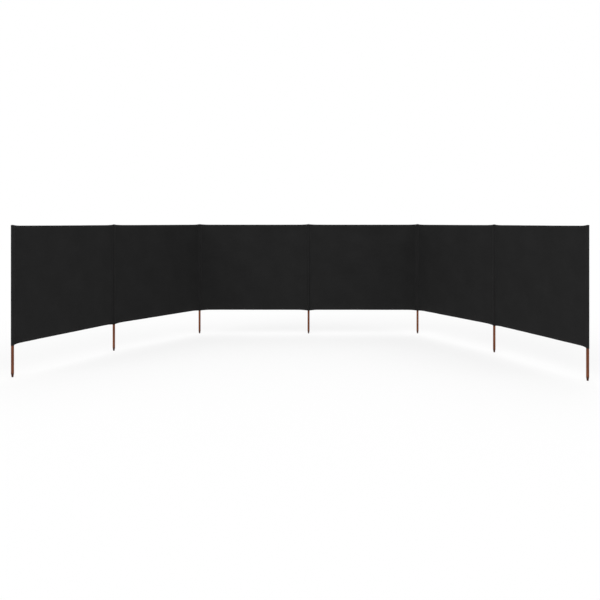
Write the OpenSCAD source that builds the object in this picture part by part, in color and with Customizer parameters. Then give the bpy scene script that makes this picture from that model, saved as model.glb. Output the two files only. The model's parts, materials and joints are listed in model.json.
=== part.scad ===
// Beach windbreak: seven wooden stakes in the pockets of one long cloth, six bays from stake to stake.
// The origin is the centre of stake 4's blunt end, +Z is up, and the sheltered side faces -Y.

/* [Stakes] */
// Length of a stake
stake_len = 1500; // [1200:10:1800]
// Diameter of a stake
stake_d = 28; // [20:1:36]
// Length of the tapered foot
foot_len = 36; // [20:1:80]
// Diameter of the foot's blunt end
foot_d = 17; // [6:1:18]

/* [Bays] */
// Distance from stake to stake
bay_w = 1500; // [1000:10:2000]
// Turn of bay 1 on bay 2 at stake 2, towards the sheltered side
turn_2 = 9.3; // [0:0.1:60]
// Turn of bay 2 on bay 3 at stake 3
turn_3 = 56.2; // [0:0.1:80]
// Turn of bay 4 on bay 3 at stake 4
turn_4 = 0; // [0:0.1:20]
// Turn of bay 5 on bay 4 at stake 5
turn_5 = 63.6; // [0:0.1:80]
// Turn of bay 6 on bay 5 at stake 6
turn_6 = 7.3; // [0:0.1:60]

/* [Cloth] */
// Bare length of a stake, from its blunt end to the pocket's mouth
bare_len = 312; // [200:1:450]
// Thickness of the single cloth
cloth_t = 2; // [1:0.1:3]
// Height of the folded hems
hem_h = 30; // [15:1:60]
// Thickness of the folded hems
hem_t = 3; // [1.5:0.1:4]
// Thickness of the pocket's cloth
pocket_t = 1.5; // [1:0.1:3]
// How far a pocket's closed top stands above the top hem
pocket_rise = 6; // [3:0.5:15]
// How far a pocket's mouth hangs below the bottom hem
pocket_drop = 10; // [0:1:25]

/* [Clearances] */
// Gap between a stake and the pocket round it
stake_gap = 0.3; // [0.1:0.1:1]
// Gap between a pocket and the cloth that turns about it
turn_gap = 0.3; // [0.2:0.1:0.8]

/* [Hidden] */
stakes = 7;
bays = stakes - 1;
home = 4;
pocket_r = stake_d / 2 + stake_gap + pocket_t;
pocket_top = stake_len + pocket_t;
cloth_top = pocket_top - pocket_rise;
cloth_bottom = bare_len + pocket_drop;
turns = [0, 0, turn_2, turn_3, turn_4, turn_5, turn_6];
cut = 1;
$fn = 96;

// A bay hangs from the stake on its side of stake 4 and points away from it.
function inner_stake(bay) = bay < home ? bay + 1 : bay;

// Direction of a bay in plan, in degrees from +X
function heading(bay) =
    bay == home - 1 ? 180
    : bay == home ? -turns[home]
    : bay < home ? heading(bay + 1) + turns[bay + 1]
    : heading(bay - 1) - turns[bay];

// Place of a stake in plan
function stake_at(n) =
    n == home ? [0, 0]
    : n < home ? stake_at(n + 1) + bay_w * [cos(heading(n)), sin(heading(n))]
    : stake_at(n - 1) + bay_w * [cos(heading(n - 1)), sin(heading(n - 1))];

// A flat strip of the bay's cloth between two heights, cut round to its two pockets
module strip(bay, thickness, low, high) {
    at = stake_at(inner_stake(bay));
    translate([at.x, at.y, low])
        rotate(heading(bay))
            difference() {
                translate([0, -thickness / 2, 0])
                    cube([bay_w, thickness, high - low]);
                for (x = [0, bay_w])
                    translate([x, 0, -cut])
                        cylinder(r = pocket_r + turn_gap, h = high - low + 2 * cut);
            }
}

// Round stake with a tapered foot and a blunt end
module stake(n) {
    color("sienna")
        translate(stake_at(n)) {
            cylinder(d1 = foot_d, d2 = stake_d, h = foot_len);
            translate([0, 0, foot_len])
                cylinder(d = stake_d, h = stake_len - foot_len);
        }
}

// Pocket sewn round a stake, closed at the top and open at the bottom
module pocket(n) {
    color("dimgray")
        translate(stake_at(n))
            difference() {
                translate([0, 0, bare_len])
                    cylinder(r = pocket_r, h = pocket_top - bare_len);
                translate([0, 0, bare_len - cut])
                    cylinder(r = pocket_r - pocket_t, h = stake_len - bare_len + cut);
            }
}

// Single cloth of a bay, between its hems
module panel(bay) {
    color("darkslategray")
        strip(bay, cloth_t, cloth_bottom + hem_h, cloth_top - hem_h);
}

// Cloth folded over along the top edge
module top_hem(bay) {
    color("slategray")
        strip(bay, hem_t, cloth_top - hem_h, cloth_top);
}

// Cloth folded over along the bottom edge
module bottom_hem(bay) {
    color("slategray")
        strip(bay, hem_t, cloth_bottom, cloth_bottom + hem_h);
}

for (n = [1:stakes]) {
    stake(n);
    pocket(n);
}
for (n = [1:bays]) {
    panel(n);
    top_hem(n);
    bottom_hem(n);
}
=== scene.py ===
"""Beach windbreak: seven round wooden stakes that stand in the pockets of one long dark cloth."""

import json
import math

import bmesh
import bpy
from mathutils import Matrix, Vector


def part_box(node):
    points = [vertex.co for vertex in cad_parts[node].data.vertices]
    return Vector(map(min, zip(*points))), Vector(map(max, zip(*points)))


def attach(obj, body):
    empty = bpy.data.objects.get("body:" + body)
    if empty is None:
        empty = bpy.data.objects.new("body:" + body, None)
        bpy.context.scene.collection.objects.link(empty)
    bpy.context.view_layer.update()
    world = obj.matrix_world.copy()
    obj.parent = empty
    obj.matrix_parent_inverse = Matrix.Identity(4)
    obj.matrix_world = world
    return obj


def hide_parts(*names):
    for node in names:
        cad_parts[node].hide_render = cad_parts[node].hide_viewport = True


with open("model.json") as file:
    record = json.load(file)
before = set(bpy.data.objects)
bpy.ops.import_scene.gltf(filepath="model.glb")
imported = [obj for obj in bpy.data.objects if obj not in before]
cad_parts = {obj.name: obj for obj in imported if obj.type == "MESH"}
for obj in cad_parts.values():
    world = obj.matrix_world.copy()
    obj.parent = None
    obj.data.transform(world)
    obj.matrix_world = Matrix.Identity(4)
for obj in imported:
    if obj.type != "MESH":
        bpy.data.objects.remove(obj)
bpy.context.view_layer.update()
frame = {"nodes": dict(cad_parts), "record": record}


# ---- Layout ----
# Seven stakes stand in a bent row and a bay of cloth runs from each to the next. Stakes and
# bays count from the left, seen from the sheltered side, which is the side that -Y faces.

STAKES = range(1, 8)
BAYS = range(1, 7)
carrier = {
    node: body
    for body, nodes in frame["record"]["behaviour"]["bodies"].items()
    for node in nodes
}


def foot(stake):
    """Where a stake's axis meets the ground."""
    low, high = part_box(f"stake_{stake}")
    return Vector(((low.x + high.x) / 2, (low.y + high.y) / 2, 0))


def bay_place(bay):
    """The matrix that takes a bay made along +X from the world's origin to its own place."""
    start, end = foot(bay), foot(bay + 1)
    turn = math.atan2(end.y - start.y, end.x - start.x)
    return Matrix.Translation(start) @ Matrix.Rotation(turn, 4, "Z")


BAY_WIDTH = (foot(5) - foot(4)).length


# ---- Camera ----
# It stands at eye height in front of the middle bays, on the sheltered side, and looks
# level. The picture is shifted down to hold the feet of the two wings.

bpy.ops.object.camera_add(location=(-0.118, -9.236, 1.530), rotation=(math.radians(90), 0, 0))
camera = bpy.context.object
camera.data.sensor_width = 36
camera.data.lens = 40.26
camera.data.shift_y = -0.1298
bpy.context.scene.camera = camera


# ---- Stakes ----
# Round dowels of a stained and varnished hardwood, cut blunt at the tapered foot that goes
# into the sand. The stain has soaked in unevenly along the grain and the foot is darker.


class Part:
    """One output of a shader node. Python's operators on it add Math nodes."""

    def __init__(self, tree, socket):
        self.tree = tree
        self.socket = socket

    def node(self, kind, settings=None, inputs=None, output=0):
        """Add a node with its settings first and then its sockets' values or links."""
        made = self.tree.nodes.new(kind)
        for name, value in (settings or {}).items():
            if name == "stops":
                ramp = made.color_ramp.elements
                while len(ramp) < len(value):
                    ramp.new(0.5)
                for stop, (place, colour) in zip(ramp, value):
                    stop.position = place
                    stop.color = (*colour, 1)
            else:
                setattr(made, name, value)
        for name, value in (inputs or {}).items():
            if isinstance(value, Part):
                self.tree.links.new(value.socket, made.inputs[name])
            else:
                made.inputs[name].default_value = value
        return Part(self.tree, made.outputs[output])

    def maths(self, operation, *values):
        return self.node("ShaderNodeMath", {"operation": operation}, dict(enumerate(values)))

    def __add__(self, other):
        return self.maths("ADD", self, other)

    def __sub__(self, other):
        return self.maths("SUBTRACT", self, other)

    def __rsub__(self, other):
        return self.maths("SUBTRACT", other, self)

    def __mul__(self, other):
        return self.maths("MULTIPLY", self, other)

    __radd__ = __add__
    __rmul__ = __mul__

    def sine(self):
        return self.maths("SINE", self)

    def size(self):
        """This value without its sign."""
        return self.maths("ABSOLUTE", self)

    def step(self, low, high):
        """0 below low, 1 above high, and a smooth rise between them."""
        return self.node(
            "ShaderNodeMapRange",
            {"interpolation_type": "SMOOTHSTEP"},
            {"Value": self, "From Min": low, "From Max": high},
        )

    def mix(self, first, second):
        """Colour first where this value is 0 and colour second where it is 1."""
        return self.node(
            "ShaderNodeMix",
            {"data_type": "RGBA"},
            {"Factor": self, 6: first, 7: second},
            output=2,
        )


def new_finish(name, **constants):
    """A material, its shader with the sockets that are the same all over, and a first Part."""
    finish = bpy.data.materials.new(name)
    finish.use_nodes = True
    shader = finish.node_tree.nodes["Principled BSDF"]
    for socket, value in constants.items():
        shader.inputs[socket.replace("_", " ")].default_value = value
    return finish, shader, Part(finish.node_tree, None)


def feed(shader, **sockets):
    """Link Parts to the shader's sockets."""
    for name, part in sockets.items():
        part.tree.links.new(part.socket, shader.inputs[name.replace("_", " ")])


def stained_wood():
    finish, shader, make = new_finish(
        "stained_wood", Specular_IOR_Level=0.18, Coat_Weight=0.05, Coat_Roughness=0.35
    )
    place = make.node("ShaderNodeTexCoord", output="Object")
    along_grain = make.node("ShaderNodeMapping", None, {"Vector": place, "Scale": (1, 1, 0.05)})
    streaks = make.node(
        "ShaderNodeTexNoise", None,
        {"Vector": along_grain, "Scale": 420, "Detail": 6, "Roughness": 0.65},
    )
    bands = make.node(
        "ShaderNodeTexNoise", None,
        {"Vector": along_grain, "Scale": 70, "Detail": 3, "Distortion": 0.6},
    )
    blotches = make.node("ShaderNodeTexNoise", None, {"Vector": place, "Scale": 9, "Detail": 2})
    grain = bands * 0.55 + streaks * 0.45
    colour = make.node(
        "ShaderNodeValToRGB",
        {"stops": [
            (0.30, (0.055, 0.014, 0.004)),
            (0.45, (0.130, 0.035, 0.011)),
            (0.58, (0.185, 0.054, 0.019)),
            (0.74, (0.260, 0.088, 0.036)),
        ]},
        {"Fac": grain},
    )
    uneven = (blotches.step(0.35, 0.7) * 0.35).mix(colour, (0.075, 0.021, 0.010, 1))
    height = make.node("ShaderNodeSeparateXYZ", None, {"Vector": place}, output="Z")
    ragged_height = height + (streaks - 0.5) * 0.02
    soiled = 1 - ragged_height.step(0.028, 0.050)
    darkened = (soiled * 0.8).mix(uneven, (0.030, 0.010, 0.006, 1))
    rough = 0.48 + streaks * 0.2 + soiled * 0.25
    bump = make.node(
        "ShaderNodeBump", None, {"Height": grain, "Strength": 0.35, "Distance": 0.0006}
    )
    feed(shader, Base_Color=darkened, Roughness=rough, Normal=bump)
    return finish


wood = stained_wood()
for stake in STAKES:
    node = frame["nodes"][f"stake_{stake}"]
    node.data.materials.clear()
    node.data.materials.append(wood)


# ---- Pockets ----
# Every stake stands in a tube of the same cloth, sewn into the length of it. The tube is
# closed over the stake's top and open below, and its mouth is rolled in and stitched.


def only(piece):
    """Select this piece and nothing else."""
    bpy.ops.object.select_all(action="DESELECT")
    piece.select_set(True)
    bpy.context.view_layer.objects.active = piece


def choose(kind, test):
    """In edit mode, select the verts, edges or faces for which the test is true."""
    modes = {"verts": "VERT", "edges": "EDGE", "faces": "FACE"}
    bpy.ops.mesh.select_mode(type=modes[kind])
    bpy.ops.mesh.select_all(action="DESELECT")
    mesh = bpy.context.object.data
    shape = bmesh.from_edit_mesh(mesh)
    for element in getattr(shape, kind):
        element.select_set(bool(test(element)))
    shape.select_flush_mode()
    bmesh.update_edit_mesh(mesh)


def finish_with(piece, kind, **settings):
    """Add a modifier, set it up and apply it."""
    only(piece)
    modifier = piece.modifiers.new(kind.lower(), kind)
    for name, value in settings.items():
        setattr(modifier, name, value)
    bpy.ops.object.modifier_apply(modifier=modifier.name)


def copy_of(piece, name, place):
    """A copy with a mesh of its own, moved to its place, its object left at the origin."""
    twin = bpy.data.objects.new(name, piece.data.copy())
    bpy.context.scene.collection.objects.link(twin)
    twin.data.transform(place)
    twin.data.update()
    return twin


def woven_cloth(name, shade, crease, puckers=None):
    """Black plain-weave polyester. Its UV map is in metres, so that the threads are true to scale.

    Puckers gives the UV places of upright lines (X) and level lines (Y) of stitches, which
    draw the cloth beside them into short ripples.
    """
    finish, shader, make = new_finish(name, Specular_IOR_Level=0.10)
    thread = 0.0011
    pucker_reach = 0.055
    cloth = make.node("ShaderNodeUVMap")
    across = make.node("ShaderNodeSeparateXYZ", None, {"Vector": cloth}, output="X")
    up = make.node("ShaderNodeSeparateXYZ", None, {"Vector": cloth}, output="Y")
    weave = (across * (math.pi / thread)).sine() * (up * (math.pi / thread)).sine()
    long_threads = make.node("ShaderNodeMapping", None, {"Vector": cloth, "Scale": (0.12, 1, 1)})
    slubs = make.node(
        "ShaderNodeTexNoise", None, {"Vector": long_threads, "Scale": 500, "Detail": 2}
    )
    creases = make.node(
        "ShaderNodeTexNoise", None,
        {"Vector": cloth, "Scale": 14, "Detail": 5, "Roughness": 0.62, "Distortion": 0.8},
    )
    mottle = make.node("ShaderNodeTexNoise", None, {"Vector": cloth, "Scale": 3.5, "Detail": 4})
    light = (mottle * 0.5 + slubs * 0.35 + weave * 0.08).step(0.2, 0.75)
    dark = tuple(0.82 * value for value in shade)
    pale = tuple(1.22 * value for value in shade)
    colour = light.mix((*dark, 1), (*pale, 1))
    relief = weave * 0.25 + slubs * 0.5 + creases * crease
    sides = {"X": (across, (14, 120, 1)), "Y": (up, (120, 14, 1))}
    for side, places in (puckers or {}).items():
        distance, ripple = sides[side]
        ripples = make.node("ShaderNodeMapping", None, {"Vector": cloth, "Scale": ripple})
        drawn = make.node("ShaderNodeTexNoise", None, {"Vector": ripples, "Scale": 1, "Detail": 2})
        for place in places:
            near = 1 - (distance - place).size().step(0.0, pucker_reach)
            relief = relief + near * near * drawn * 3.5
    bump = make.node(
        "ShaderNodeBump", None, {"Height": relief, "Strength": 0.4, "Distance": 0.0008}
    )
    rough = 0.70 + slubs * 0.25
    feed(shader, Base_Color=colour, Roughness=rough, Normal=bump)
    return finish


CLOTH_SHADE = (0.0129, 0.0129, 0.0130)
pocket_low, pocket_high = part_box("pocket_4")
POCKET_RADIUS = (pocket_high.x - pocket_low.x) / 2
POCKET_WALL = 0.001
ROUND = 2 * math.pi
MOUTH_HEM = 0.006
POCKET_HEIGHT = pocket_high.z - pocket_low.z
pocket_finish = woven_cloth("pocket_cloth", CLOTH_SHADE, 3.0, {"Y": (POCKET_HEIGHT + MOUTH_HEM,)})


def make_pocket():
    """A tube whose UV map starts at POCKET_HEIGHT at the mouth."""
    bpy.ops.mesh.primitive_cylinder_add(
        vertices=48, radius=POCKET_RADIUS, depth=POCKET_HEIGHT,
        location=(0, 0, (pocket_low.z + pocket_high.z) / 2),
    )
    pocket = bpy.context.object
    bpy.ops.object.transform_apply(location=True)
    for loop in pocket.data.uv_layers[0].data:
        loop.uv.x *= ROUND * POCKET_RADIUS
        loop.uv.y *= 2 * POCKET_HEIGHT
    bpy.ops.object.mode_set(mode="EDIT")
    choose("faces", lambda face: face.normal.z > 0.9)
    bpy.ops.uv.cube_project(cube_size=1, correct_aspect=False)
    choose("faces", lambda face: face.normal.z < -0.9)
    bpy.ops.mesh.delete(type="ONLY_FACE")
    choose("edges", lambda edge: abs(edge.verts[0].co.z - edge.verts[1].co.z) > 0.1)
    bpy.ops.mesh.subdivide(number_cuts=59)
    choose("faces", lambda face: face.normal.z > 0.9)
    bpy.ops.mesh.bevel(offset=0.0022, segments=3)
    choose("faces", lambda face: face.normal.z > 0.99)
    for inset, rise in ((0.004, 0.0006), (0.005, -0.0004)):
        bpy.ops.mesh.inset(thickness=inset)
        bpy.ops.transform.translate(value=(0, 0, rise))
    choose("edges", lambda edge: edge.is_boundary)
    bpy.ops.mesh.extrude_region_move(TRANSFORM_OT_translate={"value": (0, 0, -0.0005)})
    bpy.ops.transform.resize(value=(0.96, 0.96, 1))
    bpy.ops.object.mode_set(mode="OBJECT")
    return pocket


def pattern_space(location, scale, tilt=0):
    """An empty that lays out a displacement's pattern by its place, tilt and scale."""
    space = bpy.data.objects.new("space", None)
    bpy.context.scene.collection.objects.link(space)
    space.location = location
    space.rotation_euler = (0, math.radians(tilt), 0)
    space.scale = scale
    bpy.context.view_layer.update()
    return space


def slacken(pocket, stake):
    """Dent the tube inwards in long soft folds, but leave it round where the cloth joins it."""
    bays_away = [foot(n) - foot(stake) for n in (stake - 1, stake + 1) if n in STAKES]
    round_to, free_from = 20, 45  # degrees round the tube from the nearest bay
    tube_inside = 0.6 * POCKET_RADIUS
    shoulder = pocket_high.z - 0.004
    free = pocket.vertex_groups.new(name="free")
    for vertex in pocket.data.vertices:
        spoke = Vector((vertex.co.x, vertex.co.y, 0))
        if spoke.length < tube_inside or vertex.co.z > shoulder:
            continue
        nearest = math.degrees(min(spoke.angle(way) for way in bays_away))
        weight = (nearest - round_to) / (free_from - round_to)
        free.add([vertex.index], min(max(weight, 0), 1), "REPLACE")
    folds = bpy.data.textures.new("folds", "CLOUDS")
    folds.noise_scale = 0.009
    space = pattern_space((0, 0, stake), (1, 1, 7))
    finish_with(
        pocket, "DISPLACE", texture=folds, texture_coords="OBJECT",
        texture_coords_object=space, vertex_group="free", mid_level=1.0, strength=0.0007,
    )
    bpy.data.objects.remove(space)
    pocket.vertex_groups.clear()


def make_stitch(length, thickness):
    """One stitch of thread, sunk at both ends."""
    bpy.ops.mesh.primitive_ico_sphere_add(
        subdivisions=1, radius=0.5, scale=(length, thickness, thickness)
    )
    stitch = bpy.context.object
    bpy.ops.object.transform_apply(scale=True)
    bpy.ops.object.shade_smooth()
    return stitch


STITCH_PITCH = 0.0045
STITCH_LENGTH = 0.0036
THREAD = 0.0006
thread_finish, thread_shader, make = new_finish("black_thread", Specular_IOR_Level=0.35)
place = make.node("ShaderNodeTexCoord", output="Object")
twist = make.node("ShaderNodeTexNoise", None, {"Vector": place, "Scale": 900, "Detail": 1})
feed(
    thread_shader,
    Base_Color=twist.mix((0.012, 0.012, 0.012, 1), (0.030, 0.030, 0.031, 1)),
    Roughness=0.42 + twist * 0.2,
)

pocket_pattern = make_pocket()
sewn_on = {stake: [] for stake in STAKES}
for stake in STAKES:
    piece = copy_of(pocket_pattern, f"pocket_cloth_{stake}", Matrix.Identity(4))
    slacken(piece, stake)
    finish_with(piece, "SOLIDIFY", thickness=POCKET_WALL, offset=-1)
    piece.data.transform(Matrix.Translation(foot(stake)))
    only(piece)
    bpy.ops.object.shade_smooth_by_angle(angle=math.radians(40))
    piece.data.materials.append(pocket_finish)
    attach(piece, carrier[f"pocket_{stake}"])
    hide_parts(f"pocket_{stake}")
bpy.data.objects.remove(pocket_pattern)


def make_top_seam():
    """The tube's two layers, turned in and sewn together across the top of the stake."""
    long = 1.55 * POCKET_RADIUS
    bpy.ops.mesh.primitive_cube_add(
        size=1, location=(0, 0, pocket_high.z + 0.0004), scale=(long, 0.0026, 0.0022)
    )
    fold = bpy.context.object
    bpy.ops.object.transform_apply()
    bpy.ops.object.mode_set(mode="EDIT")
    choose("edges", lambda edge: edge.calc_length() > 0.9 * long)
    bpy.ops.mesh.subdivide(number_cuts=15)
    choose("verts", lambda v: abs(v.co.x) > 0.44 * long)
    bpy.ops.transform.translate(value=(0, 0, -0.0008))
    choose("verts", lambda v: v.co.z > pocket_high.z)
    bpy.ops.transform.vertex_random(offset=0.00035, seed=3)
    bpy.ops.mesh.select_all(action="SELECT")
    bpy.ops.uv.cube_project(cube_size=1, correct_aspect=False)
    bpy.ops.object.mode_set(mode="OBJECT")
    finish_with(fold, "BEVEL", width=0.0006, segments=2, limit_method="ANGLE")
    bpy.ops.object.shade_smooth()
    return fold


def make_top_stitching():
    """Short stitches that go over the fold from side to side."""
    pitch = 0.0026
    count = 9
    slant = math.radians(62)
    stitch = make_stitch(0.0034, THREAD)
    stitch.data.transform(Matrix.Rotation(slant, 4, "Z"))
    stitch.data.transform(
        Matrix.Translation((-pitch * (count - 1) / 2, 0, pocket_high.z + 0.0016))
    )
    finish_with(
        stitch, "ARRAY", count=count, use_relative_offset=False, use_constant_offset=True,
        constant_offset_displace=(pitch, 0, 0),
    )
    return stitch


top_seam = make_top_seam()
top_stitching = make_top_stitching()
for stake in STAKES:
    along_row = foot(min(stake + 1, STAKES[-1])) - foot(max(stake - 1, STAKES[0]))
    turned = Matrix.Rotation(math.atan2(along_row.y, along_row.x), 4, "Z")
    for pattern, name, finish in (
        (top_seam, "top_seam", pocket_finish),
        (top_stitching, "top_stitching", thread_finish),
    ):
        piece = copy_of(pattern, f"{name}_{stake}", Matrix.Translation(foot(stake)) @ turned)
        piece.data.materials.append(finish)
        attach(piece, carrier[f"pocket_{stake}"])
        finish == pocket_finish
        sewn_on[stake].append(piece)
bpy.data.objects.remove(top_seam)
bpy.data.objects.remove(top_stitching)

ring = make_stitch(STITCH_LENGTH, THREAD)
ring_stitches = round(ROUND * POCKET_RADIUS / STITCH_PITCH)
ring.data.transform(Matrix.Translation((0, -POCKET_RADIUS, pocket_low.z + MOUTH_HEM)))
only(ring)
bpy.ops.object.mode_set(mode="EDIT")
bpy.ops.mesh.select_all(action="SELECT")
bpy.ops.mesh.spin(
    steps=ring_stitches, dupli=True, angle=ROUND, center=(0, 0, 0), axis=(0, 0, 1)
)
bpy.ops.mesh.remove_doubles(threshold=0.00001)
bpy.ops.object.mode_set(mode="OBJECT")
for stake in STAKES:
    piece = copy_of(ring, f"mouth_stitching_{stake}", Matrix.Translation(foot(stake)))
    piece.data.materials.append(thread_finish)
    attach(piece, carrier[f"pocket_{stake}"])
bpy.data.objects.remove(ring)


# ---- Cloth of the bays ----
# One width of black plain-weave polyester, which runs taut from pocket to pocket. It hangs
# by its two ends, so it sags a little between them and is drawn down at each pocket's mouth.

SEAM_END = 0.024  # from a stake's axis to the sheet's end
SEAM_WIDTH = 0.0125
edge_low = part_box("bottom_hem_3")[0].z
edge_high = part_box("top_hem_3")[1].z
seam_low = edge_low - 0.0075
seam_high = edge_high + 0.0045
HEM_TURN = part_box("top_hem_3")[1].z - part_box("top_hem_3")[0].z
HEM_ROWS = 2
ROWS = HEM_ROWS * round((edge_high - edge_low) / HEM_TURN)
COLUMNS = 72
CLOTH = 0.0008  # thickness
CLOTH_WEIGHT = 0.2  # kilograms for a square metre
SHEET_AREA = 1.7
ON_LINE = 0.001  # how near to a line a vertex counts as on it
SETTLED = 24  # the frame at which the sheet has come to rest
half_wide = BAY_WIDTH / 2 - SEAM_END
half_high = (edge_high - edge_low) / 2
HEM_STITCH = 0.026  # from the hem's outer edge to its stitches
hem_line = half_high - HEM_STITCH
puckers = {
    "X": (0.5 - half_wide, 0.5 + half_wide),
    "Y": (0.5 - hem_line, 0.5 + hem_line),
}
cloth_finish = woven_cloth("bay_cloth", CLOTH_SHADE, 4.0, puckers)


def make_sheet(bay):
    """A flat sheet between its two seams, with the corners drawn towards the pocket's ends."""
    wide = BAY_WIDTH - 2 * SEAM_END
    high = edge_high - edge_low
    bpy.ops.mesh.primitive_grid_add(
        x_subdivisions=COLUMNS, y_subdivisions=ROWS, size=1,
        location=(BAY_WIDTH / 2, 0, (edge_low + edge_high) / 2),
        rotation=(math.radians(90), 0, 0),
    )
    sheet = bpy.context.object
    sheet.name = f"panel_cloth_{bay}"
    sheet.scale = (wide, high, 1)
    bpy.ops.object.transform_apply()
    pitch = high / ROWS
    for name, edge, inwards in (("top", edge_high, -1), ("bottom", edge_low, 1)):
        first = edge + inwards * pitch
        bpy.ops.object.mode_set(mode="EDIT")
        choose("verts", lambda v: abs(v.co.z - first) < ON_LINE)
        bpy.ops.transform.translate(value=(0, 0, inwards * (HEM_STITCH - pitch)))
        bpy.ops.object.mode_set(mode="OBJECT")
        for group, reach in (("edge", 0), ("line", HEM_STITCH), ("band", HEM_ROWS * pitch)):
            near = [
                v.index for v in sheet.data.vertices
                if abs(v.co.z - edge) < reach + ON_LINE
                and (group != "line" or abs(v.co.z - edge) > reach - ON_LINE)
            ]
            sheet.vertex_groups.new(name=f"{name}_{group}").add(near, 1, "REPLACE")
    ends = sheet.vertex_groups.new(name="ends")
    ends.add(
        [v.index for v in sheet.data.vertices if abs(v.co.x - BAY_WIDTH / 2) > wide / 2 - ON_LINE],
        1, "REPLACE",
    )
    bpy.ops.object.mode_set(mode="EDIT")
    bpy.ops.mesh.select_all(action="SELECT")
    bpy.ops.uv.cube_project(cube_size=1, correct_aspect=False)
    for stake, end in ((bay, SEAM_END), (bay + 1, BAY_WIDTH - SEAM_END)):
        reach = 0.06 if stake in (STAKES[0], STAKES[-1]) else 0.12
        for at, pull in ((edge_low, seam_low - edge_low), (edge_high, seam_high - edge_high)):
            corner = Vector((end, 0, at))
            choose("verts", lambda v: (v.co - corner).length < ON_LINE)
            bpy.ops.transform.translate(
                value=(0, 0, pull), use_proportional_edit=True,
                proportional_edit_falloff="SHARP", proportional_size=reach,
            )
    bpy.ops.object.mode_set(mode="OBJECT")
    return sheet


def hang(sheet, bay):
    """Let the sheet settle under its weight, held at both ends, from a slightly uneven start."""
    uneven = bpy.data.textures.new("uneven", "CLOUDS")
    uneven.noise_scale = 0.22
    uneven.noise_depth = 2
    space = pattern_space((0, 2.7 * bay, 0), (2.4, 1, 1), tilt=9)
    slack_from = 0.16
    slack = sheet.vertex_groups.new(name="slack")
    for vertex in sheet.data.vertices:
        from_end = min(vertex.co.x, BAY_WIDTH - vertex.co.x) - SEAM_END
        slack.add([vertex.index], min(from_end / slack_from, 1), "REPLACE")
    finish_with(
        sheet, "DISPLACE", texture=uneven, texture_coords="OBJECT", vertex_group="slack",
        texture_coords_object=space, direction="Y", mid_level=0.5, strength=0.03,
    )
    bpy.data.objects.remove(space)
    only(sheet)
    cloth = sheet.modifiers.new("hang", "CLOTH")
    cloth.settings.quality = 6
    cloth.settings.mass = CLOTH_WEIGHT * SHEET_AREA / len(sheet.data.vertices)
    cloth.settings.tension_stiffness = 30
    cloth.settings.compression_stiffness = 15
    cloth.settings.shear_stiffness = 8
    cloth.settings.bending_stiffness = 0.3
    cloth.settings.tension_damping = 20
    cloth.settings.compression_damping = 20
    cloth.settings.shear_damping = 20
    cloth.settings.air_damping = 4
    cloth.settings.vertex_group_mass = "ends"
    cloth.settings.shrink_min = -0.001
    cloth.collision_settings.use_collision = False
    cloth.point_cache.frame_end = SETTLED
    for step in range(1, SETTLED + 1):
        bpy.context.scene.frame_set(step)
    bpy.ops.object.modifier_apply(modifier=cloth.name)
    bpy.context.scene.frame_set(1)
    finish_with(sheet, "SMOOTH", factor=0.5, iterations=14, use_x=False, use_z=False)


sheets = {}
for bay in BAYS:
    sheets[bay] = make_sheet(bay)
    hang(sheets[bay], bay)


# ---- Hems ----
# Along the top and the bottom the cloth is folded over to the back and stitched down, so
# the front is smooth but for one row of stitches and the back has the fold's free edge.

FOLDED_SHADE = tuple(1.06 * value for value in CLOTH_SHADE)
hem_finish = woven_cloth("hem_cloth", FOLDED_SHADE, 3.0, puckers)
HEM = 0.0020  # thickness
EDGES = ("top", "bottom")


def cut_out(sheet, group, name, faces):
    """Copy the part of a sheet that lies in a vertex group, as a piece of its own."""
    twin = copy_of(sheet, name, Matrix.Identity(4))
    index = sheet.vertex_groups[group].index
    kept = {v.index for v in sheet.data.vertices if any(g.group == index for g in v.groups)}
    only(twin)
    bpy.ops.object.mode_set(mode="EDIT")
    choose("verts", lambda v: v.index not in kept)
    bpy.ops.mesh.delete(type="VERT")
    if not faces:
        choose("faces", lambda face: True)
        bpy.ops.mesh.delete(type="ONLY_FACE")
    bpy.ops.object.mode_set(mode="OBJECT")
    twin.vertex_groups.clear()
    return twin


def make_hem(sheet, edge, bay):
    hem = cut_out(sheet, f"{edge}_band", f"{edge}_hem_cloth_{bay}", faces=True)
    finish_with(hem, "SUBSURF", levels=2, render_levels=2, boundary_smooth="PRESERVE_CORNERS")
    finish_with(hem, "SOLIDIFY", thickness=HEM, offset=-0.5)
    finish_with(hem, "BEVEL", width=0.0006, segments=2, limit_method="ANGLE")
    bpy.ops.object.shade_smooth_by_angle(angle=math.radians(50))
    return hem


def joined(pieces, name):
    """Make one piece of several."""
    only(pieces[0])
    for piece in pieces:
        piece.select_set(True)
    bpy.ops.object.join()
    bpy.context.object.name = name
    return bpy.context.object


def make_hem_stitching(sheet, edge, bay):
    """Two rows of stitches, one on each face, bent along the line just inside the fold's edge."""
    line = cut_out(sheet, f"{edge}_line", "line", faces=False)
    only(line)
    bpy.ops.object.convert(target="CURVE")
    line.data.twist_mode = "Z_UP"
    points = line.data.splines[0].points
    if points[0].co.x > points[-1].co.x:
        bpy.ops.object.mode_set(mode="EDIT")
        bpy.ops.curve.select_all(action="SELECT")
        bpy.ops.curve.switch_direction()
        bpy.ops.object.mode_set(mode="OBJECT")
    front = make_stitch(STITCH_LENGTH, THREAD)
    back = copy_of(front, "back", Matrix.Translation((0, 0.75 * HEM, 0)))
    front.data.transform(Matrix.Translation((0, -0.25 * HEM, 0)))
    front = joined([front, back], f"{edge}_hem_stitching_{bay}")
    front.data.transform(Matrix.Translation((STITCH_PITCH / 2, 0, 0)))
    finish_with(
        front, "ARRAY", fit_type="FIT_CURVE", curve=line, use_relative_offset=False,
        use_constant_offset=True, constant_offset_displace=(STITCH_PITCH, 0, 0),
    )
    finish_with(front, "CURVE", object=line)
    bpy.data.objects.remove(line)
    return front


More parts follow.
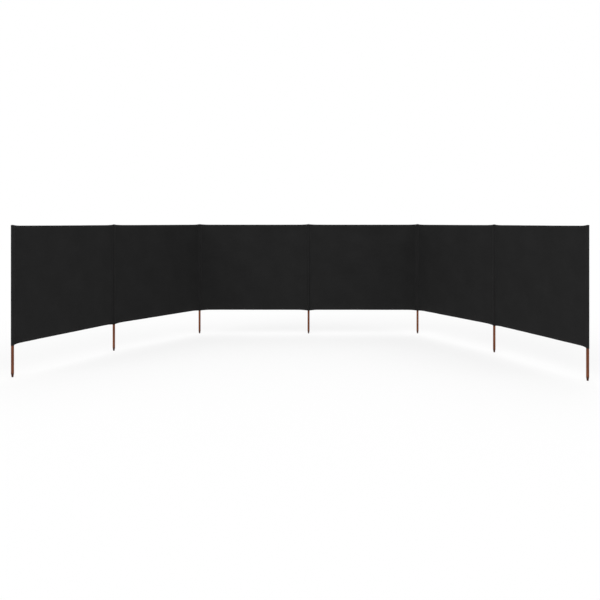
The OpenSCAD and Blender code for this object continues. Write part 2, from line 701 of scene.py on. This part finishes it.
hems = {}
for bay in BAYS:
    hems[bay] = []
    for edge in EDGES:
        hem = make_hem(sheets[bay], edge, bay)
        stitching = make_hem_stitching(sheets[bay], edge, bay)
        for piece, finish in ((hem, hem_finish), (stitching, thread_finish)):
            piece.data.transform(bay_place(bay))
            piece.data.materials.append(finish)
            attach(piece, carrier[f"panel_{bay}"])
        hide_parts(f"{edge}_hem_{bay}")
        hems[bay] += [hem, stitching]


# ---- Pocket seams ----
# Beside each pocket its two layers come together and are sewn flat, with a row of stitches
# up each face. The seam hugs the tube, so that it can turn about the stake as the cloth does.

SEAM = 0.0032  # thickness
TURN_GAP = 0.0003  # between the seam and the tube that it turns on


def make_seam():
    """A flat strip that flares where it meets the round pocket, made at the bay's left end."""
    near = POCKET_RADIUS - 0.0003
    far = near + SEAM_WIDTH
    flare_ends = near + 0.0035
    bpy.ops.mesh.primitive_cube_add(
        size=1, location=((near + far) / 2, 0, (seam_low + seam_high) / 2),
        scale=(SEAM_WIDTH, SEAM, seam_high - seam_low),
    )
    seam = bpy.context.object
    bpy.ops.object.transform_apply()
    bpy.ops.object.mode_set(mode="EDIT")
    bpy.ops.mesh.select_all(action="SELECT")
    bpy.ops.mesh.bisect(plane_co=(flare_ends, 0, 0), plane_no=(1, 0, 0))
    choose("verts", lambda v: v.co.x < near + 0.0001)
    bpy.ops.transform.resize(value=(1, 2.2, 1))
    bpy.ops.object.mode_set(mode="OBJECT")
    bpy.ops.mesh.primitive_cylinder_add(
        vertices=96, radius=POCKET_RADIUS + TURN_GAP, depth=4, location=(0, 0, 1)
    )
    cutter = bpy.context.object
    finish_with(seam, "BOOLEAN", object=cutter, operation="DIFFERENCE")
    bpy.data.objects.remove(cutter)
    finish_with(seam, "BEVEL", width=0.0004, segments=2, limit_method="ANGLE", angle_limit=0.9)
    bpy.ops.object.mode_set(mode="EDIT")
    bpy.ops.mesh.select_all(action="SELECT")
    bpy.ops.uv.cube_project(cube_size=1, correct_aspect=False)
    bpy.ops.object.mode_set(mode="OBJECT")
    bpy.ops.object.shade_smooth_by_angle(angle=math.radians(35))
    return seam


def make_seam_stitching():
    """A row of upright stitches on each face of the seam, with a bar tack at both ends."""
    middle = POCKET_RADIUS + 0.007
    tack_length, tack_count, tack_pitch = 0.0055, 11, 0.0008
    row = make_stitch(STITCH_LENGTH, THREAD)
    row.data.transform(Matrix.Rotation(math.radians(90), 4, "Y"))
    row.data.transform(Matrix.Translation((middle, -SEAM / 2, seam_low + STITCH_PITCH)))
    finish_with(
        row, "ARRAY", count=int((seam_high - seam_low) / STITCH_PITCH) - 1,
        use_relative_offset=False, use_constant_offset=True,
        constant_offset_displace=(0, 0, STITCH_PITCH),
    )
    rows = [row]
    for height in (seam_low + 0.005, seam_high - 0.013):
        tack = make_stitch(tack_length, THREAD)
        tack.data.transform(Matrix.Translation((middle, -SEAM / 2 - 0.0001, height)))
        finish_with(
            tack, "ARRAY", count=tack_count, use_relative_offset=False,
            use_constant_offset=True, constant_offset_displace=(0, 0, tack_pitch),
        )
        rows.append(tack)
    to_back = Matrix.Rotation(math.pi, 4, "X") @ Matrix.Translation((0, 0, -seam_low - seam_high))
    backs = [copy_of(row, "back", to_back) for row in rows]
    return joined([*rows, *backs], "seam_stitching")


seam_finish = woven_cloth("seam_cloth", FOLDED_SHADE, 2.0, {"X": (0.5,)})
seam_pattern = make_seam()
stitching_pattern = make_seam_stitching()
at_end = {
    "left": Matrix.Identity(4),
    "right": Matrix.Translation((BAY_WIDTH, 0, 0)) @ Matrix.Rotation(math.pi, 4, "Z"),
}
seams = {bay: [] for bay in BAYS}
for bay in BAYS:
    for side, end in at_end.items():
        seam = copy_of(seam_pattern, f"pocket_seam_{bay}_{side}", bay_place(bay) @ end)
        stitching = copy_of(
            stitching_pattern, f"seam_stitching_{bay}_{side}", bay_place(bay) @ end
        )
        seam.data.materials.append(seam_finish)
        stitching.data.materials.append(thread_finish)
        for piece in (seam, stitching):
            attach(piece, carrier[f"panel_{bay}"])
            seams[bay].append(piece)
bpy.data.objects.remove(seam_pattern)
bpy.data.objects.remove(stitching_pattern)

for bay in BAYS:
    sheet = sheets[bay]
    in_hems = {sheet.vertex_groups[f"{edge}_edge"].index for edge in EDGES}
    outer = {v.index for v in sheet.data.vertices if in_hems & {g.group for g in v.groups}}
    only(sheet)
    bpy.ops.object.mode_set(mode="EDIT")
    choose("verts", lambda v: v.index in outer)
    bpy.ops.mesh.delete(type="VERT")
    bpy.ops.object.mode_set(mode="OBJECT")
    sheet.vertex_groups.clear()
    finish_with(sheet, "SOLIDIFY", thickness=CLOTH, offset=0)
    sheet.data.transform(bay_place(bay))
    bpy.ops.object.shade_smooth_by_angle(angle=math.radians(50))
    sheet.data.materials.append(cloth_finish)
    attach(sheet, carrier[f"panel_{bay}"])
    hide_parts(f"panel_{bay}")


# ---- Floor and light ----
# A plain pale floor, a white surround, and soft lamps that are alike on all sides.

bpy.ops.mesh.primitive_plane_add(size=60, location=(0, 0, -0.001))
floor = bpy.context.object
floor.name = "floor"
floor_finish, floor_shader, make = new_finish(
    "pale_floor", Base_Color=(0.85, 0.85, 0.85, 1), Roughness=0.9, Specular_IOR_Level=0.0
)
seen = make.node("ShaderNodeLightPath", output="Is Camera Ray")
white = make.node("ShaderNodeEmission", None, {"Color": (1, 1, 1, 1), "Strength": 1.0})
lit = Part(make.tree, floor_shader.outputs[0])
both = make.node("ShaderNodeMixShader", None, {"Fac": seen * 0.75, 1: lit, 2: white})
make.tree.links.new(both.socket, make.tree.nodes["Material Output"].inputs["Surface"])
floor.data.materials.append(floor_finish)

world = bpy.data.worlds.new("surround")
bpy.context.scene.world = world
world.use_nodes = True
make = Part(world.node_tree, None)
direct = make.node("ShaderNodeLightPath", output="Is Camera Ray")
mirrored = make.node("ShaderNodeLightPath", output="Is Glossy Ray")
through = make.node("ShaderNodeLightPath", output="Is Transmission Ray")
shown = make.maths("MAXIMUM", through, direct + mirrored)
background = world.node_tree.nodes["Background"]
world.node_tree.links.new((0.6 + shown * 0.4).socket, background.inputs["Strength"])
background.inputs["Color"].default_value = (1, 1, 1, 1)

for name, height, turn, strength in (
    ("key_light", 35, -40, 1.3),
    ("fill_light", 40, 60, 0.7),
    ("back_light", 45, 170, 0.9),
):
    aim = (math.radians(90 - height), 0, math.radians(turn))
    bpy.ops.object.light_add(type="SUN", rotation=aim)
    lamp = bpy.context.object
    lamp.name = name
    lamp.data.energy = strength
    lamp.data.angle = math.radians(50)

bpy.context.scene.view_settings.view_transform = "Standard"
